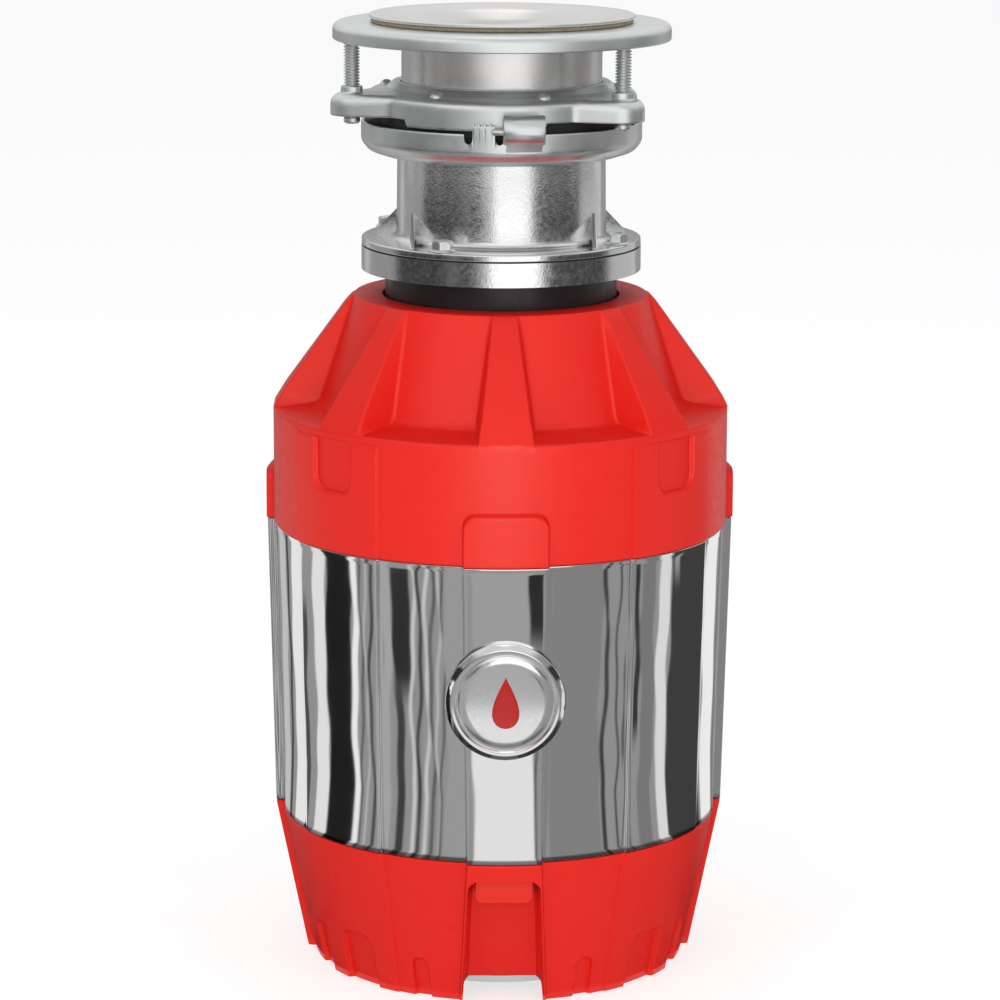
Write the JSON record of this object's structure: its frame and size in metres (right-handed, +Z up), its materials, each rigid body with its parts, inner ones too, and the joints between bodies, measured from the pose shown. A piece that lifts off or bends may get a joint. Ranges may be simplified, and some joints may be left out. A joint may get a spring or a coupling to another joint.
{
  "type": "food waste disposer",
  "caption": "Kitchen food waste disposer with a ribbed red shell, a mirror-finished waist band, a cast throat and a screw-up sink mounting.",
  "frame": {"origin": "centre of the foot, on the surface it stands on", "axes": "+Z up along the motor shaft, -Y towards the badge, +X to the right seen from the front"},
  "size_m": [0.2052, 0.2717, 0.4165],
  "materials": {
    "stainless": "brushed",
    "fibre": "matte",
    "zinc_plate": "satin zinc plate",
    "spring_steel": "satin",
    "black_rubber": "matte",
    "casting": "bright as-cast",
    "black_plastic": "matte",
    "ferrite": "matte",
    "iron": "matte",
    "copper": "enamelled copper",
    "red_plastic": "satin, finely textured",
    "chrome": "mirror",
    "enamel": "gloss",
    "button_red": "gloss",
    "green_screw": "gloss"
  },
  "bodies": {
    "housing": {"backup_flange": "zinc_plate", "badge": "chrome", "badge_inlay": "enamel", "base_plate": "zinc_plate", "base_screws": "zinc_plate", "brush_holders": "black_plastic", "brush_springs": "spring_steel", "brushes": "ferrite", "cable_entry": "black_plastic", "chamber_gasket": "black_rubber", "chrome_band": "chrome", "discharge_elbow": "black_plastic", "drain_chamber": "casting", "drain_flange": "zinc_plate", "drain_gasket": "black_rubber", "drain_screws": "zinc_plate", "earth_screw": "green_screw", "fibre_gasket": "fibre", "grind_ring": "stainless", "hopper": "casting", "hopper_bolts": "zinc_plate", "lower_bearing": "spring_steel", "lower_end_bell": "casting", "lower_shell": "red_plastic", "magnets": "ferrite", "motor_bolts": "zinc_plate", "motor_can": "zinc_plate", "motor_cradle": "black_rubber", "mounting_ring": "zinc_plate", "neck_collar": "black_plastic", "overload_protector": "black_plastic", "rubber_mount": "black_rubber", "shaft_seal": "black_rubber", "sink_flange": "stainless", "snap_ring": "spring_steel", "splash_guard": "black_rubber", "terminal_block": "black_plastic", "upper_bearing": "spring_steel", "upper_end_bell": "casting", "upper_shell": "red_plastic"},
    "rotor": {"turntable": "stainless", "turntable_nut": "stainless", "impeller_pins": "stainless", "motor_shaft": "stainless", "armature_core": "iron", "windings": "copper", "commutator": "copper"},
    "lug_a": {"impeller_a": "stainless"},
    "lug_b": {"impeller_b": "stainless"},
    "lock_ring": {"clamp_ring": "zinc_plate"},
    "reset": {"reset_button": "button_red"},
    "screw_1": {"mounting_screw_1": "zinc_plate"},
    "screw_2": {"mounting_screw_2": "zinc_plate"},
    "screw_3": {"mounting_screw_3": "zinc_plate"}
  },
  "joints": [
    {"name": "rotor_spin", "type": "hinge", "parent": "housing", "child": "rotor", "pos_m": [0, 0, 0.3], "axis": [0, 0, 1], "continuous": true},
    {"name": "lug_a_swivel", "type": "hinge", "parent": "rotor", "child": "lug_a", "pos_m": [0.03, 0, 0.306], "axis": [0, 0, 1], "continuous": true},
    {"name": "lug_b_swivel", "type": "hinge", "parent": "rotor", "child": "lug_b", "pos_m": [-0.03, 0, 0.306], "axis": [0, 0, 1], "continuous": true},
    {"name": "lock_ring_turn", "type": "hinge", "parent": "housing", "child": "lock_ring", "pos_m": [0, 0, 0.365], "axis": [0, 0, -1], "range_deg": [0, 38]},
    {"name": "reset_press", "type": "slide", "parent": "housing", "child": "reset", "axis": [0, 0, 1], "range_m": [0, 0.003]},
    {"name": "screw_1_back_off", "type": "slide", "parent": "housing", "child": "screw_1", "axis": [0, 0, -1], "range_m": [0, 0.01]},
    {"name": "screw_2_back_off", "type": "slide", "parent": "housing", "child": "screw_2", "axis": [0, 0, -1], "range_m": [0, 0.01]},
    {"name": "screw_3_back_off", "type": "slide", "parent": "housing", "child": "screw_3", "axis": [0, 0, -1], "range_m": [0, 0.01]}
  ]
}
